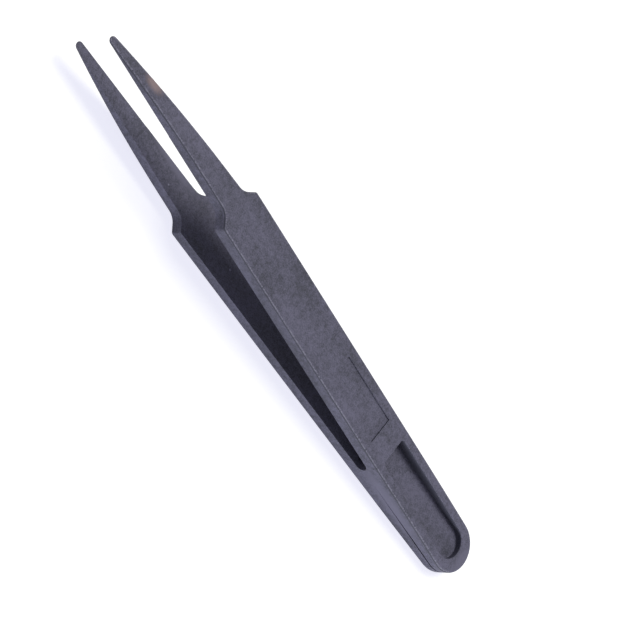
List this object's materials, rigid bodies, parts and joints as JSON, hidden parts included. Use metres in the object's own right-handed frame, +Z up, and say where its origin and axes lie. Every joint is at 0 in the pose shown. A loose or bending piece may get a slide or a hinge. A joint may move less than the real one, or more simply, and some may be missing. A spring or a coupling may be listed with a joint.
{
  "type": "anti-static plastic tweezers",
  "caption": "Slim plastic tweezers moulded in one piece: a pocketed wedge tail, two flat spreading arms and narrow blades that bow down to fine rounded tips.",
  "frame": {"origin": "under the middle of the box, on the surface that the lower arm's outer face lies on", "axes": "+X from the tips to the tail, along the object; +Y across its width; +Z up, from the lower arm to the upper arm"},
  "size_m": [0.1257, 0.0104, 0.016],
  "materials": {
    "filled_plastic": "matte moulded, fine grain, charcoal"
  },
  "bodies": {
    "root": {"tweezers": "filled_plastic"}
  },
  "joints": []
}
